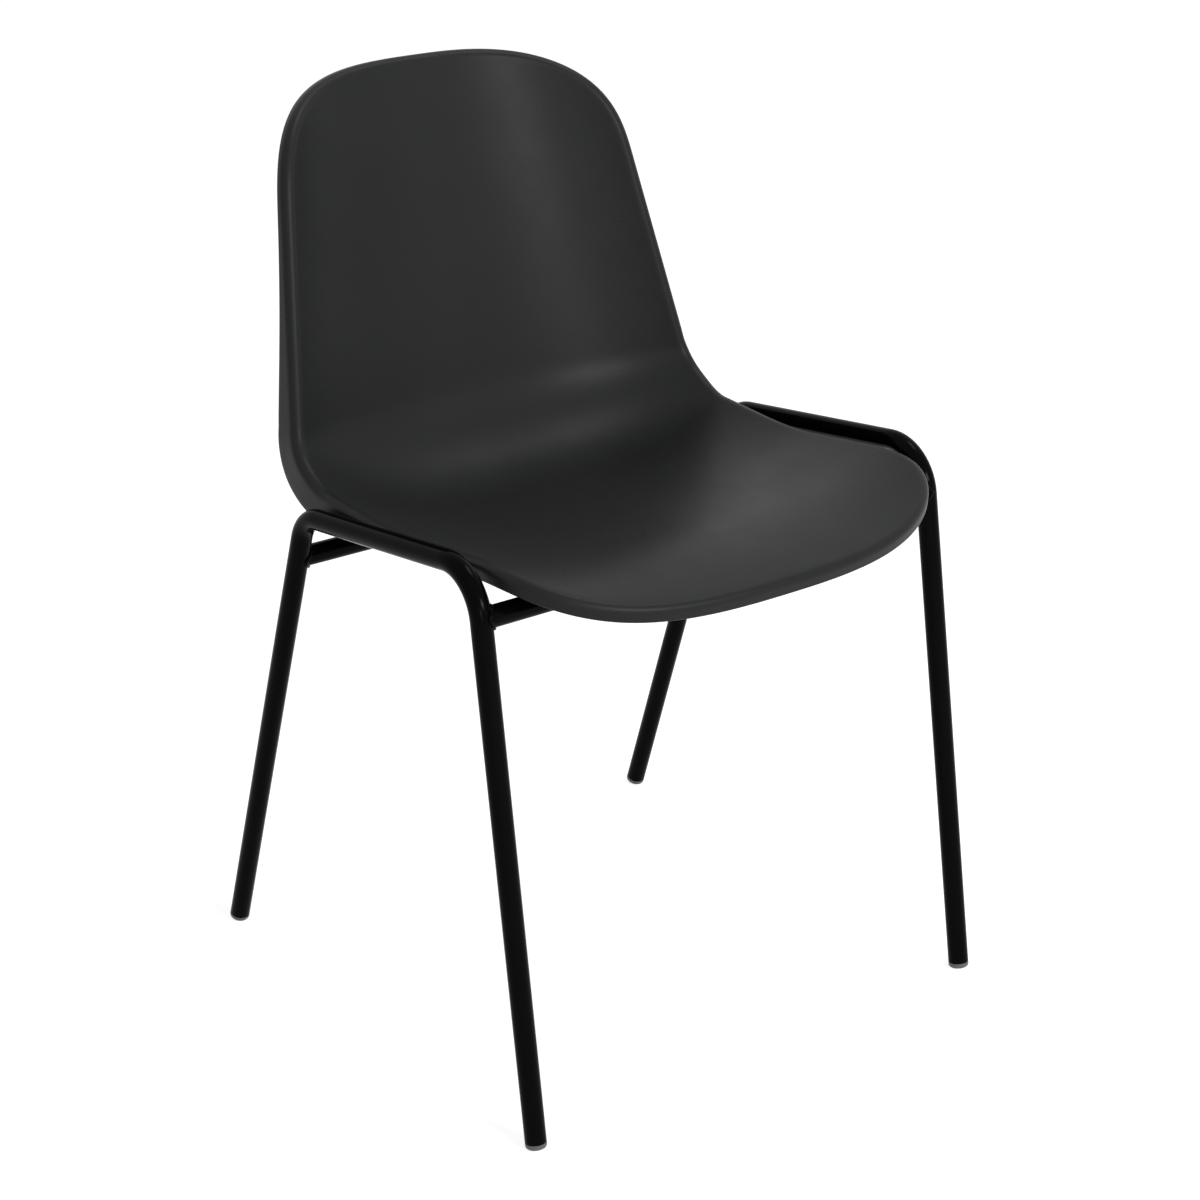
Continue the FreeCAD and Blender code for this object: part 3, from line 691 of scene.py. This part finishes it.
def lay_floor(size):
    """A white floor that keeps the chair's shadow."""
    half = 8.0
    mesh = bpy.data.meshes.new("floor")
    mesh.from_pydata([(-half, -half, 0), (half, -half, 0), (half, half, 0), (-half, half, 0)], [], [(0, 1, 2, 3)])
    floor = bpy.data.objects.new("floor", mesh)
    bpy.context.scene.collection.objects.link(floor)
    floor.location.z = -0.0002
    material = finish("white_floor", [c * 0.8 for c in size.backdrop], (0.85, 0.95), 300.0, 0.02, shade=0.01)
    tree = material.node_tree
    shader = tree.nodes["Principled BSDF"]
    shader.inputs["Specular IOR Level"].default_value = 0.0
    shader.inputs["Emission Color"].default_value = list(size.backdrop) + [1]
    nodes = Nodes(tree)
    glow = nodes.add("ShaderNodeMath", operation="MULTIPLY")
    glow.inputs[1].default_value = size.floor_glow
    nodes.join(seen_ray(nodes), glow.inputs[0])
    nodes.join(glow.outputs[0], shader.inputs["Emission Strength"])
    clad(floor, material)


def set_surroundings(size):
    """White to look at, and a plain soft light on the chair."""
    world = bpy.data.worlds.new("studio")
    bpy.context.scene.world = world
    world.use_nodes = True
    tree = world.node_tree
    background = tree.nodes["Background"]
    background.inputs["Color"].default_value = list(size.backdrop) + [1]
    nodes = Nodes(tree)
    level = nodes.add("ShaderNodeMapRange")
    level.inputs["To Min"].default_value = size.ambient
    level.inputs["To Max"].default_value = 1.0
    nodes.join(seen_ray(nodes), level.inputs["Value"])
    nodes.join(level.outputs["Result"], background.inputs["Strength"])


def hang_lamp(name, place, aim, width, height, watts):
    """A rectangular softbox aimed at a spot."""
    light = bpy.data.lights.new(name, "AREA")
    light.shape = "RECTANGLE"
    light.size, light.size_y, light.energy = width, height, watts
    lamp = bpy.data.objects.new(name, light)
    bpy.context.scene.collection.objects.link(lamp)
    lamp.location = place
    lamp.rotation_euler = (Vector(aim) - Vector(place)).to_track_quat("-Z", "Y").to_euler()


def place_camera(size):
    """Camera above and to one side of the front."""
    camera = bpy.data.cameras.new("camera")
    camera.sensor_width = 36.0
    camera.lens = size.lens
    camera.shift_x, camera.shift_y = size.shift_x, size.shift_y
    stand = bpy.data.objects.new("camera", camera)
    bpy.context.scene.collection.objects.link(stand)
    heading = Matrix.Rotation(size.azimuth, 4, "Z")
    tilt = Matrix.Rotation(math.pi / 2 - size.elevation, 4, "X")
    roll = Matrix.Rotation(size.roll, 4, "Z")
    place = Matrix.Translation((size.camera_x, size.camera_y, size.camera_z))
    stand.matrix_world = place @ heading @ tilt @ roll
    bpy.context.scene.camera = stand


# ---------------------------------------------------------------- panel and registration

class CHAIR_PT_panel(bpy.types.Panel):
    """Lists the settings and the operators"""

    bl_idname = "CHAIR_PT_panel"
    bl_label = "Stacking Chair"
    bl_space_type = "VIEW_3D"
    bl_region_type = "UI"
    bl_category = "Stacking Chair"

    def draw(self, context):
        layout = self.layout
        for settings, names in (
                (context.scene.chair_shell, ("tone", "grain")),
                (context.scene.chair_frame, ("coat", "plug", "zinc", "bead")),
                (context.scene.chair_stage, ("backdrop", "ambient", "floor_glow", "lens"))):
            for name in names:
                layout.prop(settings, name)
        for operator in OPERATORS:
            layout.operator(operator.bl_idname)


SETTINGS = {"chair_shell": ShellSettings, "chair_frame": FrameSettings, "chair_stage": StageSettings}
OPERATORS = [CHAIR_OT_shell, CHAIR_OT_frame, CHAIR_OT_fittings, CHAIR_OT_stage]


def register():
    for kind in [*SETTINGS.values(), *OPERATORS, CHAIR_PT_panel]:
        bpy.utils.register_class(kind)
    for name, kind in SETTINGS.items():
        setattr(bpy.types.Scene, name, bpy.props.PointerProperty(type=kind))


def unregister():
    for name in SETTINGS:
        delattr(bpy.types.Scene, name)
    for kind in reversed([*SETTINGS.values(), *OPERATORS, CHAIR_PT_panel]):
        bpy.utils.unregister_class(kind)


def main():
    register()
    bpy.ops.chair.shell()
    bpy.ops.chair.frame()
    bpy.ops.chair.fittings()
    bpy.ops.chair.stage()


if __name__ == "__main__":
    main()
